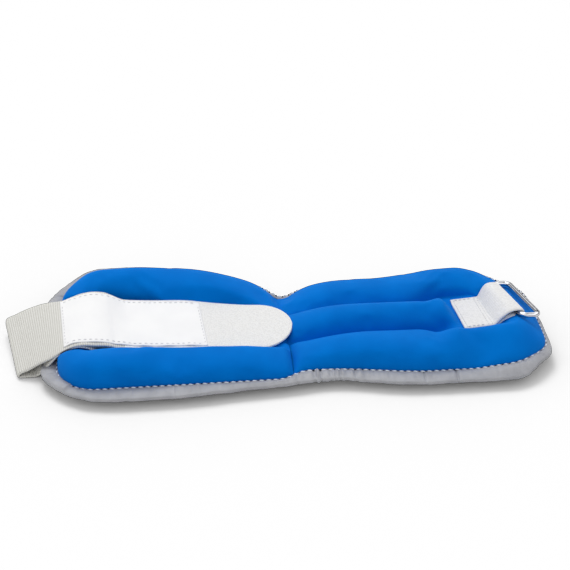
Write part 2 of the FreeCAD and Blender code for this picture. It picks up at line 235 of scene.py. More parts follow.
def chamber_height(side, x, y):
    """Height of the outer chamber over its seams, at a point of its middle line."""
    run = np.abs(x - centre_seam(y))
    if side > 0:
        front = right_front_roll * risen(run, 0.42, 0.048)
        front = front - right_front_fall * ramp(x, 0.078, 0.104)
        rear = right_rear_roll * risen(run, 0.12, 0.042)
        rear = rear - right_rear_fall * ramp(x, 0.100, 0.128)
    else:
        front = left_front_roll * risen(run, 0.60, 0.05)
        front = front + left_front_crest * band(-x, 0.072, 0.092, 0.116, 0.130)
        front = front - left_front_slack * band(-x, 0.030, 0.045, 0.066, 0.084)
        rear = left_rear_roll - left_rear_fall * ramp(-x, 0.060, 0.100)
        rear = rear * risen(run, 0.10, 0.052)
    height = front + (rear - front) * ramp(y, -0.028, 0.030)
    return height * (1 - 0.55 * swell(run, 0, seam_spread))


def middle_height(side, x, y):
    """Height over the seams between the outer chamber's inner seams: the middle chamber, and
    beyond its end the flat place that the webbing is sewn on."""
    run = np.abs(x - centre_seam(y))
    if side > 0:
        full = right_middle_roll * risen(run, 0.42, 0.040)
    else:
        full = left_middle_roll + left_middle_swell * ramp(run, 0.018, 0.058)
    full = full * (1 - 0.50 * swell(run, 0, seam_spread))
    end = ramp(np.abs(x), 0.086, 0.0985)
    half = channel_half * (1 + 0.35 * end)
    dome = np.sqrt(np.clip(1 - (y / half) ** 2, 0, 1)) ** 1.1
    patch = patch_rise * ramp(np.abs(x), 0.088, 0.098) * (1 - ramp(np.abs(y), 0.0215, 0.0265))
    return np.maximum(full * dome * (1 - end), patch)


def over_strap(side, x, y):
    """How strongly the left half's front chamber leans in against the strap's edge."""
    return (side < 0) * 2.9 * band(-x, 0.070, 0.090, 0.118, 0.126) * ramp(-y, 0.028, 0.036)


def sheet_faces(rows, columns, first=0, endless=False):
    """Faces over a grid of points kept row by row; endless joins the last row to the first."""
    count = rows if endless else rows - 1
    corners = [(first + r * columns, first + (r + 1) % rows * columns) for r in range(count)]
    return [(a + c, b + c, b + c + 1, a + c + 1) for a, b in corners for c in range(columns - 1)]


def quilted(side, arch, middle, bulge):
    """Vertices and faces of one half. arch(side, x, y) and middle(side, x, y) give heights
    over the seams, and bulge is how far the chamber's outer wall leans out past its seam."""
    outer, inner = seams_of_half(side)
    angles = np.linspace(0, np.pi, arch_cells + 1)
    share = (1 - np.cos(angles)) / 2
    plan = outer[:, None] + (inner - outer)[:, None] * share[None, :, None]
    centre = (outer + inner) / 2
    out = unit(outer - inner)
    lean = bulge * np.sin(angles) * np.clip(np.cos(angles), 0, 1) * 2
    plan = plan + out[:, None] * lean[None, :, None]
    inward = 2 * bulge * over_strap(side, centre[:, 0], centre[:, 1])
    lean = np.sin(angles) * np.clip(-np.cos(angles), 0, 1) * 2
    plan = plan - out[:, None] * inward[:, None, None] * lean[None, :, None]
    height = arch(side, centre[:, 0], centre[:, 1])
    z = height[:, None] * np.sin(angles)[None, :] ** 0.9
    chamber = np.c_[plan.reshape(-1, 2), z.reshape(-1)]
    faces = sheet_faces(len(outer), arch_cells + 1)

    deep = straight_cells + corner_cells
    across = np.linspace(0, 1, cross_cells + 1)
    front, rear = inner[:deep + 1], inner[::-1][:deep + 1]
    grid = front[:, None] + (rear - front)[:, None] * across[None, :, None]
    grid[-1] = inner[deep:deep + cross_cells + 1]
    flat = grid.reshape(-1, 2)
    edge = np.minimum(across, 1 - across)[None, :] * np.ones((deep + 1, 1))
    edge = np.minimum(edge, ((deep - np.arange(deep + 1)) / 10.0)[:, None])
    height = middle(side, flat[:, 0], flat[:, 1]) * ramp(edge.reshape(-1), 0, 0.04)
    faces += sheet_faces(deep + 1, cross_cells + 1, first=len(chamber))
    if side < 0:
        faces = [face[::-1] for face in faces]
    return np.vstack([chamber, np.c_[flat, height]]), faces


def shaded_smooth(obj):
    obj.data.polygons.foreach_set("use_smooth", [True] * len(obj.data.polygons))
    return obj


def mesh_object(name, points, faces):
    mesh = bpy.data.meshes.new(name)
    mesh.from_pydata([tuple(p) for p in points], [], [tuple(f) for f in faces])
    mesh.update()
    obj = bpy.data.objects.new(name, mesh)
    bpy.context.collection.objects.link(obj)
    return obj


def points_of(mesh):
    return np.array([v.co[:] for v in mesh.vertices])


def edited(obj, *jobs):
    """Does each job, a function of a bmesh, on the object's mesh."""
    bm = bmesh.new()
    bm.from_mesh(obj.data)
    for job in jobs:
        job(bm)
    bm.to_mesh(obj.data)
    bm.free()


def faced_outward(bm):
    bmesh.ops.recalc_face_normals(bm, faces=bm.faces)


def panel_sheet(name, arch, middle, bulge, level, squashed=lambda z: z):
    """Both halves of a quilted sheet, joined along the centre seam and laid down."""
    points, faces = [], []
    count = 0
    for side in (1, -1):
        half_points, half_faces = quilted(side, arch, middle, bulge)
        points.append(half_points)
        faces += [tuple(i + count for i in face) for face in half_faces]
        count += len(half_points)
    points = np.vstack(points)
    points[:, 2] = squashed(level + points[:, 2])
    obj = mesh_object(name, lie(points), faces)
    edited(obj, lambda bm: bmesh.ops.remove_doubles(bm, verts=bm.verts, dist=0.00012),
           faced_outward)
    return obj


def apply_modifiers(obj):
    with bpy.context.temp_override(object=obj, active_object=obj, selected_objects=[obj]):
        for modifier in list(obj.modifiers):
            bpy.ops.object.modifier_apply(modifier=modifier.name)


def subdivided(obj, levels):
    modifier = obj.modifiers.new("Subdivision", "SUBSURF")
    modifier.levels = modifier.render_levels = levels
    modifier.boundary_smooth = "PRESERVE_CORNERS"
    apply_modifiers(obj)


cloth_frames = 16


def inflated(obj, sewn, pressure, most):
    """Cloth blown up between its seams. sewn holds one weight per vertex, 1 where it is sewn;
    no point moves further than most."""
    start = points_of(obj.data)
    group = obj.vertex_groups.new(name="sewn")
    for index, weight in enumerate(sewn):
        group.add([index], float(weight), "REPLACE")
    cloth = obj.modifiers.new("Cloth", "CLOTH")
    settings = cloth.settings
    settings.quality = 6
    settings.mass = 0.3
    settings.tension_stiffness = settings.compression_stiffness = 20
    settings.shear_stiffness = 8
    settings.bending_stiffness = 6.0
    settings.vertex_group_mass = "sewn"
    settings.shrink_min = -0.004
    settings.use_pressure = True
    settings.uniform_pressure_force = pressure
    settings.effector_weights.gravity = 0
    cloth.collision_settings.use_collision = False
    scene = bpy.context.scene
    cloth.point_cache.frame_start, cloth.point_cache.frame_end = 1, cloth_frames
    for number in range(1, cloth_frames + 1):
        scene.frame_set(number)
    end = points_of(obj.evaluated_get(bpy.context.evaluated_depsgraph_get()).data)
    obj.modifiers.clear()
    scene.frame_set(1)
    move = end - start
    moved = np.linalg.norm(move, axis=1, keepdims=True)
    move = move * np.minimum(1, most / np.maximum(moved, 1e-9))
    for vertex, place in zip(obj.data.vertices, held_down(start + move)):
        vertex.co = place
    obj.data.update()


def piece_of(obj, name, chosen, materials, shade=None):
    """The chosen faces of a mesh as a piece of its own, with the shading of the whole."""
    mesh = obj.data
    points = points_of(mesh)
    normals = np.array([n.vector[:] for n in mesh.vertex_normals])
    kept = [tuple(p.vertices) for p, use in zip(mesh.polygons, chosen) if use]
    used = sorted({i for face in kept for i in face})
    number = {old: new for new, old in enumerate(used)}
    piece = mesh_object(name, points[used], [[number[i] for i in face] for face in kept])
    if "run" in mesh.attributes:
        store_run(piece, np.array([d.value for d in mesh.attributes["run"].data])[used])
    for material in materials:
        piece.data.materials.append(material)
    shaded_smooth(piece)
    if shade is not None:
        for polygon in piece.data.polygons:
            polygon.material_index = shade(polygon.center)
    piece.data.normals_split_custom_set_from_vertices([tuple(n) for n in normals[used]])
    return piece


def store_run(obj, values):
    """Keeps, at each point, the distance run along the webbing."""
    attribute = obj.data.attributes.new("run", "FLOAT", "POINT")
    attribute.data.foreach_set("value", values.astype(np.float32))


length_cuts = (-0.0675, -0.0225, 0.0225, 0.0675)
panel_lengths = {"left_end": ("left_end",), "left_mid": ("left_mid",),
                 "centre": ("left_inner", "right_inner"),
                 "right_mid": ("right_mid",), "right_end": ("right_end",)}


def nodes_of(*patterns):
    """For each length of the panel, the nodes of these kinds that it stands for."""
    return {label: [pattern.format(span) for span in spans for pattern in patterns
                    if pattern.format(span) in frame["nodes"]]
            for label, spans in panel_lengths.items()}


def cut_into_lengths(obj, name, material, replaced):
    """Cuts a piece of the panel midway between the lines where it bends, into one length round
    each of them, and keeps the shading of the whole across the cuts."""
    for cut in length_cuts:
        edited(obj, lambda bm: bmesh.ops.bisect_plane(
            bm, geom=bm.verts[:] + bm.edges[:] + bm.faces[:], plane_co=(cut, 0, 0),
            plane_no=(1, 0, 0), dist=1e-6))
    shaded_smooth(obj)
    xs = points_of(obj.data)[:, 0]
    middles = np.array([xs[list(p.vertices)].mean() for p in obj.data.polygons])
    number = np.searchsorted(length_cuts, middles, side="right")
    for k, label in enumerate(panel_lengths):
        piece = piece_of(obj, name + "_" + label, number == k, [material])
        if replaced.get(label):
            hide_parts(*replaced[label])
        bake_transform(piece)
    bpy.data.objects.remove(obj)


def new_material(name, **looks):
    """A material, its node tree and its shader, with the shader's plain values set by name."""
    material = bpy.data.materials.new(name)
    material.use_nodes = True
    shader = material.node_tree.nodes["Principled BSDF"]
    for key, value in looks.items():
        shader.inputs[key.replace("_", " ")].default_value = value
    return material, material.node_tree, shader


def add(tree, kind, **settings):
    """A node with its properties set by name and its unlinked inputs by their labels."""
    node = tree.nodes.new(kind)
    for key, value in settings.items():
        if hasattr(node, key):
            setattr(node, key, value)
        else:
            node.inputs[key.replace("_", " ")].default_value = value
    return node


def grain(tree, scale, detail=3.0, stretch=(1, 1, 1)):
    """Noise fixed to the piece, in metres."""
    coordinates = add(tree, "ShaderNodeTexCoord")
    mapping = add(tree, "ShaderNodeMapping")
    mapping.inputs["Scale"].default_value = stretch
    noise = add(tree, "ShaderNodeTexNoise", Scale=scale, Detail=detail)
    tree.links.new(coordinates.outputs["Object"], mapping.inputs["Vector"])
    tree.links.new(mapping.outputs["Vector"], noise.inputs["Vector"])
    return noise.outputs["Fac"]


def tint(tree, fac, dark, light, low=0.35, high=0.65):
    colours = add(tree, "ShaderNodeValToRGB")
    colours.color_ramp.elements[0].color = (*dark, 1)
    colours.color_ramp.elements[1].color = (*light, 1)
    colours.color_ramp.elements[0].position = low
    colours.color_ramp.elements[1].position = high
    tree.links.new(fac, colours.inputs["Fac"])
    return colours.outputs["Color"]


def mottled(tree, shader, *shades):
    tree.links.new(tint(tree, *shades), shader.inputs["Base Color"])


def relief(tree, shader, *bumps):
    """Stacks bumps, each a height output with its depth and its strength."""
    normal = None
    for height, depth, strength in bumps:
        bump = add(tree, "ShaderNodeBump", Distance=depth, Strength=strength)
        tree.links.new(height, bump.inputs["Height"])
        if normal is not None:
            tree.links.new(normal, bump.inputs["Normal"])
        normal = bump.outputs["Normal"]
    tree.links.new(normal, shader.inputs["Normal"])


cover_cloth, tree, shader = new_material(
    "blue_cover_cloth", Roughness=0.82, Specular_IOR_Level=0.25,
    Specular_Tint=(0.02, 0.35, 1.0, 1), Sheen_Weight=0.10, Sheen_Roughness=0.45,
    Sheen_Tint=(0.0, 0.40, 1.0, 1))
mottled(tree, shader, grain(tree, 55, 2), (0.0, 0.160, 0.612), (0.0, 0.183, 0.675))
relief(tree, shader, (grain(tree, 2600, 2), 0.00006, 0.5), (grain(tree, 420, 3), 0.00012, 0.35),
       (grain(tree, 60, 2), 0.0006, 0.25))

cover = panel_sheet("cover", chamber_height, middle_height, bulge=0.0012, level=seam_z)
places = points_of(cover.data)
far_x, far_y = np.abs(places[:, 0]), np.abs(places[:, 1])
near_channel = 1 - ramp(np.abs(far_y - 0.0148), 0.0008, 0.0022)
near_channel = near_channel * (1 - ramp(far_x, 0.075, 0.085))
near_centre = 1 - ramp(np.abs(places[:, 0] - centre_seam(places[:, 1])), 0.0003, 0.0012)
near_patch = band(far_x, 0.086, 0.092, 0.114, 0.118) * (1 - ramp(far_y, 0.024, 0.028))
sewn = np.maximum(np.maximum(near_channel, near_centre), near_patch)
bm = bmesh.new()
bm.from_mesh(cover.data)
sewn[[vertex.index for vertex in bm.verts if vertex.is_boundary]] = 1
bm.free()
inflated(cover, sewn, pressure=1.6, most=0.0009)
subdivided(cover, 1)
cut_into_lengths(cover, "face_cloth", cover_cloth,
                 nodes_of("cover_{}", "centre_fill_{}", "fill_{}_front", "fill_{}_rear",
                          "fill_{}_cross"))

# Liner. Grey terry of the same cut, quilted to the cover. The shot presses it flat on
# whatever the cuff lies on, and it draws up to the seams between the chambers.


liner_gap = 0.0004
chamber_sink, middle_sink = 0.0062, 0.0058


def liner_depth(side, x, y):
    return np.full_like(x, -chamber_sink)


def liner_middle(side, x, y):
    channel = np.clip(1 - (y / channel_half) ** 2, 0, 1) ** 0.4
    flat = ramp(np.abs(x), 0.088, 0.096) * (1 - ramp(np.abs(y), 0.022, 0.027))
    return -middle_sink * np.maximum(channel * (1 - ramp(np.abs(x), 0.08, 0.094)), flat)


def pressed(z):
    """The floor holds the liner: what would go below it flattens out."""
    return soft_floor(z, liner_gap)


def tufts(tree, scale):
    """Small cells fixed to the piece, for looped pile."""
    cells = add(tree, "ShaderNodeTexVoronoi", Scale=scale)
    coordinates = add(tree, "ShaderNodeTexCoord")
    tree.links.new(coordinates.outputs["Object"], cells.inputs["Vector"])
    return cells.outputs["Distance"]


terry, tree, shader = new_material("grey_terry", Roughness=0.95, Specular_IOR_Level=0.15,
                                   Sheen_Weight=0.3, Sheen_Roughness=0.6)
mottled(tree, shader, grain(tree, 300, 4), (0.150, 0.147, 0.160), (0.215, 0.212, 0.228))
relief(tree, shader, (tufts(tree, 900.0), 0.0006, 0.8), (grain(tree, 500, 4), 0.0005, 0.6))

liner = panel_sheet("liner", liner_depth, liner_middle, 0.0, seam_z - 2 * liner_gap, pressed)
subdivided(liner, 1)
cut_into_lengths(liner, "terry_liner", terry, nodes_of("liner_{}"))

# Edge tape. Satin woven tape folded over the rim of cover and liner and sewn through both.
# It is eased round the corners and gathers where the centre seam draws the edge in.

tape_step = 0.0005
tape_lap = 0.0012
tape_top_cells, tape_rim_cells, tape_under_cells = 10, 5, 8
inner_top = seam_z + 0.0018
rim_high, rim_low = seam_z + 0.0019, seam_z - 0.0004
rim_bend = 0.0012
hang_drop, hang_draw = 0.0034, 0.0048


def outline(half_x, half_y, radius, step):
    """Points along the panel's rounded outline, anticlockwise from the front right corner,
    with the outward direction at each and the distance run to it."""
    dense, ways = [], []
    for cx, cy, first in ((1, -1, -90), (1, 1, 0), (-1, 1, 90), (-1, -1, 180)):
        for a in np.radians(np.linspace(first, first + 90, 60)):
            ways.append((math.cos(a), math.sin(a)))
            dense.append((cx * (half_x - radius) + radius * math.cos(a),
                          cy * (half_y - radius) + radius * math.sin(a)))
    dense, ways = np.array(dense + dense[:1]), np.array(ways + ways[:1])
    run = np.r_[0, np.cumsum(np.linalg.norm(np.diff(dense, axis=0), axis=1))]
    at = np.linspace(0, run[-1], int(run[-1] / step), endpoint=False)
    place = np.c_[np.interp(at, run, dense[:, 0]), np.interp(at, run, dense[:, 1])]
    way = np.c_[np.interp(at, run, ways[:, 0]), np.interp(at, run, ways[:, 1])]
    return place, unit(way), at


def ripple(run, length, seed):
    """Uneven waves along the tape, between -1 and 1, with crests about length apart."""
    rng = np.random.RandomState(seed)
    wander = np.interp(run, np.arange(-0.02, 0.9, 0.011), rng.rand(84) * 5.0)
    waves = np.sin(2 * math.pi * run / length + wander)
    return waves * (0.6 + 0.4 * np.sin(2 * math.pi * run / (length * 3.7) + 2 * wander))


def rolled_under(x, y):
    """1 where the tape hangs down out of sight: along the rear and round the end's rear half."""
    rear = ramp(y, 0.030, 0.046) * ramp(x, -0.100, -0.075)
    return np.maximum(rear, ramp(x, 0.100, 0.125) * ramp(y, -0.012, 0.012))


place, way, run = outline(stitch_x, stitch_y, stitch_corner, tape_step)
x, y = place[:, 0], place[:, 1]
at_end = ramp(np.abs(x), 0.118, 0.136)
at_front = ramp(-y, 0.03, 0.048)
hang = rolled_under(x, y)
reach = tape_reach - 0.001 * at_end
reach = reach - 0.0030 * swell(x, -0.128, 0.014) * ramp(-y, 0.030, 0.042)
reach = reach - hang_draw * hang - 0.0030 * ramp(x, 0.120, 0.138)

# Gathers, sharpest beside the centre seam, two creases on the right and the lapped joint.
puckers = (0.16 + 1.7 * swell(x, 0.014, 0.018) * at_front
           + 0.55 * swell(x, -0.068, 0.009) * at_front + 0.35 * at_end)
fine = ripple(run, 0.0047, 3) + 0.7 * ripple(run, 0.0029, 9)
fine = fine * (0.55 + 0.45 * ripple(run, 0.0130, 4)) * puckers
broad = ripple(run, 0.021, 5)
crease = swell(x, 0.0875, 0.0007) * at_front + 0.7 * swell(x, 0.069, 0.0006) * at_front
joint = band(-x, 0.1305, 0.1312, 0.137, 0.150) * at_front

rows = []
for k in range(tape_top_cells + 1):
    t = k / tape_top_cells
    out = -tape_lap + (reach + tape_lap - rim_bend) * t
    z = inner_top + (rim_high - inner_top) * t ** 1.3 + 0.0007 * math.sin(math.pi * t)
    z = z + 0.0009 * fine * math.sin(math.pi * t) ** 0.8 + 0.0003 * broad * t
    z = z - 0.0010 * crease + 0.0009 * joint - hang_drop * hang * t
    rows.append((out, z if k else z - 0.0010))
rim_middle, rim_radius = (rim_high + rim_low) / 2, (rim_high - rim_low) / 2
for k in range(1, tape_rim_cells):
    a = math.pi / 2 - math.pi * k / tape_rim_cells
    out = reach - rim_bend + rim_bend * math.cos(a) + 0.0006 * fine - 0.0004 * crease
    rows.append((out, rim_middle + rim_radius * math.sin(a) + 0.0003 * broad - hang_drop * hang))
for k in range(tape_under_cells + 1):
    t = k / tape_under_cells
    out = reach - rim_bend - (reach + tape_lap - rim_bend) * t
    z = rim_low + 0.0006 * t + 0.0004 * fine * math.sin(math.pi * t)
    rows.append((out, z - hang_drop * hang * (1 - t)))
deep = len(rows)
points = np.zeros((len(run), deep, 3))
for k, (out, z) in enumerate(rows):
    points[:, k, :2] = place + way * np.broadcast_to(out, len(run))[:, None]
    points[:, k, 2] = z
tape = mesh_object("edge_tape", lie(points.reshape(-1, 3)),
                   sheet_faces(len(run), deep, endless=True))

satin, tree, shader = new_material("grey_satin_tape", Roughness=0.48, Specular_IOR_Level=0.4,
                                   Sheen_Weight=0.15)
mottled(tree, shader, grain(tree, 120, 3), (0.330, 0.335, 0.362), (0.400, 0.405, 0.432))
relief(tree, shader, (grain(tree, 3200, 1, (0.25, 1, 1)), 0.00005, 0.5),
       (grain(tree, 260, 3), 0.00025, 0.35))
cut_into_lengths(tape, "edge_tape", satin,
                 nodes_of("binding_{}", "binding_{}_front", "binding_{}_rear"))

# Edge stitching. One row of pale thread through the tape's inner edge, in stitches that lie on the
# tape and pull it down between them into small dimples. The dimples are not modelled: small
# near-black pieces between the stitches are painted shade for them.

stitch_pitch, stitch_out = 0.0040, 0.0008
thread_length, thread_radius = 0.0027, 0.00044
dimple_shade_length, dimple_shade_radius = 0.0014, 0.00050


def tube_faces(rings, sides, first=0):
    """Faces round and at both ends of a closed tube, whose points are kept ring by ring."""
    starts = [first + k * sides for k in range(rings)]
    faces = [(a + j, a + (j + 1) % sides, b + (j + 1) % sides, b + j)
             for a, b in zip(starts[:-1], starts[1:]) for j in range(sides)]
    ends = [tuple(start + j for j in range(sides)) for start in (starts[0], starts[-1])]
    return faces + [ends[0][::-1], ends[1]]


def threads(name, centres, directions, ups, length, radius, sides=8, rings=6):
    """One mesh of short rounded thread lengths, each lying along its direction and sunk at
    both ends."""
    points, faces = [], []
    for centre, direction, up in zip(centres, directions, ups):
        direction = unit(direction)
        across = unit(np.cross(up, direction))
        up = np.cross(direction, across)
        base = len(points)
        for k in range(rings + 1):
            t = k / rings * 2 - 1
            fat = radius * max(0.25, (1 - abs(t) ** 3.0)) ** 0.6
            for j in range(sides):
                a = 2 * math.pi * j / sides
                points.append(centre + direction * (t * length / 2) - up * (radius * 0.9 * t ** 4)
                              + across * (fat * math.cos(a)) + up * (fat * 0.8 * math.sin(a)))
        faces += tube_faces(rings + 1, sides, base)
    return mesh_object(name, np.array(points), faces)


thread_pale, tree, shader = new_material("pale_thread", Roughness=0.7, Sheen_Weight=0.2)
mottled(tree, shader, grain(tree, 900, 2), (0.74, 0.80, 0.88), (0.86, 0.90, 0.94))
relief(tree, shader, (grain(tree, 5000, 1), 0.00008, 0.5))
# Painted shade: a near-black finish for the small pieces that stand for the shade in the dimples
# between the edge stitches.
dimple_shade_paint, tree, shader = new_material("needle_hole", Roughness=1.0, Specular_IOR_Level=0.0)
mottled(tree, shader, grain(tree, 900, 2), (0.020, 0.030, 0.055), (0.045, 0.055, 0.080))

place, way, run = outline(stitch_x, stitch_y, stitch_corner, stitch_pitch)
rng = np.random.RandomState(11)
along = np.c_[-way[:, 1], way[:, 0], np.zeros(len(run))]
outward = np.c_[way, np.zeros(len(run))]
tuck = 0.0006 * rolled_under(place[:, 0], place[:, 1])
centres = np.c_[place + way * stitch_out, inner_top + 0.00046 - tuck]
slant = outward * (0.26 + 0.08 * rng.randn(len(run)))[:, None]
ups = outward * 0.25 + np.array([0, 0, 1.0])
stitches = threads("edge_stitch", lie(centres), along + slant, ups, thread_length, thread_radius)
cut_into_lengths(stitches, "edge_stitch", thread_pale, {})
# Painted shade: one small dark piece between each pair of stitches, where the thread pulls the
# tape down.
dimple_shade_centres = np.c_[place + way * stitch_out + along[:, :2] * stitch_pitch / 2,
              inner_top + 0.00028 - tuck]
dimple_shade_pieces = threads("edge_dimple", lie(dimple_shade_centres), along + slant, ups, dimple_shade_length,
                  dimple_shade_radius)
cut_into_lengths(dimple_shade_pieces, "edge_dimple", dimple_shade_paint, {})

# Strap. One length of ribbed cotton webbing, sewn to the left patch, led out over the end
# chamber, folded back on itself and laid along the middle. Beyond the label it carries
# loop pile, and its tip is cut round.

fold_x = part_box("strap_upper")[0][0] + strap_thick / 2
strap_cells = 22


def joint(name):
    return next(j for j in frame["record"]["behaviour"]["joints"] if j["name"] == name)


strap_turn_x = joint("strap_lift")["pos_m"][0]


def smooth_path(points, step):
    """Even points on a smooth curve through the given ones."""
    p = np.array(points, float)
    p = np.vstack([2 * p[0] - p[1], p, 2 * p[-1] - p[-2]])
    curve = []
    for a, b, c, d in zip(p[:-3], p[1:-2], p[2:-1], p[3:]):
        t = np.linspace(0, 1, 24, endpoint=False)[:, None]
        curve.append(0.5 * (2 * b + (c - a) * t + (2 * a - 5 * b + 4 * c - d) * t ** 2
                            + (3 * b - a - 3 * c + d) * t ** 3))
    curve = np.vstack(curve + [p[-2:-1]])
    run = np.r_[0, np.cumsum(np.linalg.norm(np.diff(curve, axis=0), axis=1))]
    at = np.linspace(0, run[-1], max(2, int(run[-1] / step)) + 1)
    return np.c_[[np.interp(at, run, curve[:, k]) for k in range(curve.shape[1])]].T, at


def strip_mesh(name, path, run, half, thick, lying, offset=0):
    """Webbing along a path in the XZ plane. half is its half width, one value or one a point,
    lying(points) lays it down, and offset moves it off the path."""
    steps = unit(np.gradient(path, axis=0))
    up = np.c_[-steps[:, 1], steps[:, 0]]
    across = np.linspace(-1, 1, strap_cells + 1)
    across = np.sign(across) * (1 - (1 - np.abs(across)) ** 1.35)
    ring = [(value, 1) for value in across] + [(value, -1) for value in across[::-1]]
    points = np.zeros((len(run), len(ring), 3))
    middles = np.zeros_like(points)
    for k, (value, face) in enumerate(ring):
        thin = thick / 2 * (1 - 0.45 * ramp(abs(value), 0.93, 1.0))
        points[:, k, 0], points[:, k, 2] = (path + up * (offset + face * thin)).T
        middles[:, k, 0], middles[:, k, 2] = path.T
        points[:, k, 1] = middles[:, k, 1] = value * half
    middles = middles.reshape(-1, 3)
    laid = points.reshape(-1, 3) + lying(middles) - middles
    obj = mesh_object(name, laid, tube_faces(len(run), len(ring)))
    store_run(obj, np.repeat(run, len(ring)))
    return shaded_smooth(obj)


def strap_lie(points):
    """How the strap lies: a little forward of the middle and askew, with its rear edge up on
    the curled side of the panel. The floor stops it."""
    out = points.copy()
    x, y, z = points[:, 0], points[:, 1], points[:, 2]
    across = y / strap_half
    free = np.maximum(ramp(z, 0.009, 0.017), ramp(-x, 0.130, 0.145))
    skew = 0.0021 * ramp(-x, 0.03, 0.06) + 0.0027 * ramp(-x, 0.135, 0.162)
    out[:, 0] = x - skew * across
    out[:, 1] = y + strap_centre_y
    out[:, 2] = z + strap_twist(x) * free * across
    out[:, 2] = soft_floor(out[:, 2], strap_thick / 2 + 0.0003)
    return out


def rib_wave(tree, pitch):
    """A wave over the webbing's ribs, by the distance run along it."""
    rib = add(tree, "ShaderNodeAttribute", attribute_name="run")
    wave = add(tree, "ShaderNodeMath", operation="MULTIPLY")
    wave.inputs[1].default_value = 2 * math.pi / pitch
    tree.links.new(rib.outputs["Fac"], wave.inputs[0])
    sine = add(tree, "ShaderNodeMath", operation="SINE")
    tree.links.new(wave.outputs[0], sine.inputs[0])
    return sine.outputs[0]


webbing, tree, shader = new_material("ribbed_webbing", Roughness=0.9, Specular_IOR_Level=0.2)
rib_height = add(tree, "ShaderNodeMapRange", From_Min=-1.0, From_Max=0.6)
tree.links.new(rib_wave(tree, 0.0013), rib_height.inputs["Value"])
yarn = grain(tree, 1300, 3)
# Painted shade: the webbing is coloured darker where the ribs are low, in the grooves between
# them.
rib_groove_shade = add(tree, "ShaderNodeMix", data_type="RGBA")
rib_groove_shade.inputs[6].default_value = (0.660, 0.652, 0.605, 1)
tree.links.new(tint(tree, yarn, (0.760, 0.752, 0.712), (0.830, 0.824, 0.790)), rib_groove_shade.inputs[7])
tree.links.new(rib_height.outputs["Result"], rib_groove_shade.inputs[0])
tree.links.new(rib_groove_shade.outputs[2], shader.inputs["Base Color"])
relief(tree, shader, (rib_height.outputs["Result"], 0.00030, 0.7), (yarn, 0.00012, 0.5))

pile, tree, shader = new_material("loop_pile", Roughness=0.95, Specular_IOR_Level=0.15,
                                  Sheen_Weight=0.25)
# The same cells give the loops' relief and painted shade: the pile is coloured darker away from
# each loop's middle, where it is low.
pile_loops_and_shade = tufts(tree, 1150.0)
mottled(tree, shader, pile_loops_and_shade, (0.965, 0.963, 0.955), (0.840, 0.836, 0.825), 0.15, 0.75)
relief(tree, shader, (pile_loops_and_shade, -0.0005, 0.7), (grain(tree, 260, 3), 0.0004, 0.4))

upper_line = [
    (fold_x + 0.0052, 0.0066), (-0.1610, 0.0090), (-0.1575, 0.0109), (-0.1525, 0.0133),
    (-0.1430, 0.0169), (-0.1355, 0.0195), (-0.1300, 0.0216), (-0.1240, 0.0229),
    (-0.1160, 0.0230), (-0.1105, 0.0222), *strap_top,
]
lower_line = [
    (-0.0954, 0.0078), (-0.1040, 0.0078), (-0.1125, 0.0080), (-0.1146, 0.0100),
    (-0.1168, 0.0150), *strap_over_roll[::-1], (-0.1535, 0.0062), (-0.1595, 0.0022),
    (fold_x + 0.0072, 0.0012), (fold_x + 0.0046, 0.0034),
]


tip_round = 0.021


def tip_width(path):
    """The strap keeps its width and is cut round over its tip."""
    left = np.clip((tip_x - path[:, 0]) / tip_round, 0, 1)
    arc = np.sqrt(np.clip(1 - (1 - left) ** 2, 0, 1))
    eased = 1 - 0.06 * ramp(path[:, 0], -0.05, -0.02)
    return np.maximum(strap_half * arc ** 1.05 * eased, 0.0008)


whole_line, whole_run = smooth_path(lower_line + upper_line, 0.0008)
strap = strip_mesh("strap_whole", whole_line, whole_run, tip_width(whole_line), strap_thick,
                   strap_lie)


fold_reach = 0.0085
pile_start = -0.10
on_run = np.array([d.value for d in strap.data.attributes["run"].data])
turn_run = whole_run[np.argmin(whole_line[:, 0])]
face_run = np.array([on_run[list(p.vertices)].mean() for p in strap.data.polygons])
is_fold = np.abs(face_run - turn_run) < fold_reach
is_lower = ~is_fold & (face_run < turn_run)
strap_base = piece_of(strap, "strap_base_webbing", is_lower, [webbing])
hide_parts("strap_anchor", "strap_lower")
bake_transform(strap_base)
strap_fold = piece_of(strap, "strap_fold_webbing", is_fold, [webbing])
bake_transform(strap_fold)
strap_tongue = piece_of(strap, "strap_tongue_webbing", ~is_fold & ~is_lower, [webbing, pile],
                        shade=lambda centre: int(centre.x > pile_start))
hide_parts("strap_upper")
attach(strap_tongue, "strap_tongue")
bpy.data.objects.remove(strap)

# Hook tape. A strip of moulded hooks sewn under the tongue, a little narrower than it. It
# runs back under the label, where it lies hidden.

pad_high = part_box("hook_pad")[1]
hook_thick, hook_seat = 0.0010, 0.0009
hook_start = -0.136
hook_tape, tree, shader = new_material("hook_tape", Roughness=0.7)
mottled(tree, shader, grain(tree, 1500, 2), (0.36, 0.35, 0.31), (0.50, 0.49, 0.45))
relief(tree, shader, (grain(tree, 1800, 1), 0.0004, 0.7))


def part_line(line, run, low, high):
    keep = (line[:, 0] >= low) & (line[:, 0] <= high) & (run > turn_run)
    return line[keep], run[keep]


line, line_run = part_line(whole_line, whole_run, hook_start, pad_high[0])
pad = strip_mesh("hook_tape", line, line_run, pad_high[1] + 0.0015, hook_thick, strap_lie,
                 offset=-(strap_thick + hook_seat) / 2)
pad.data.materials.append(hook_tape)
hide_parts("hook_pad")
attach(pad, "strap_tongue")

# Label. A bare panel of fine white satin with its edges turned under, sewn to the strap
# all round with white thread.

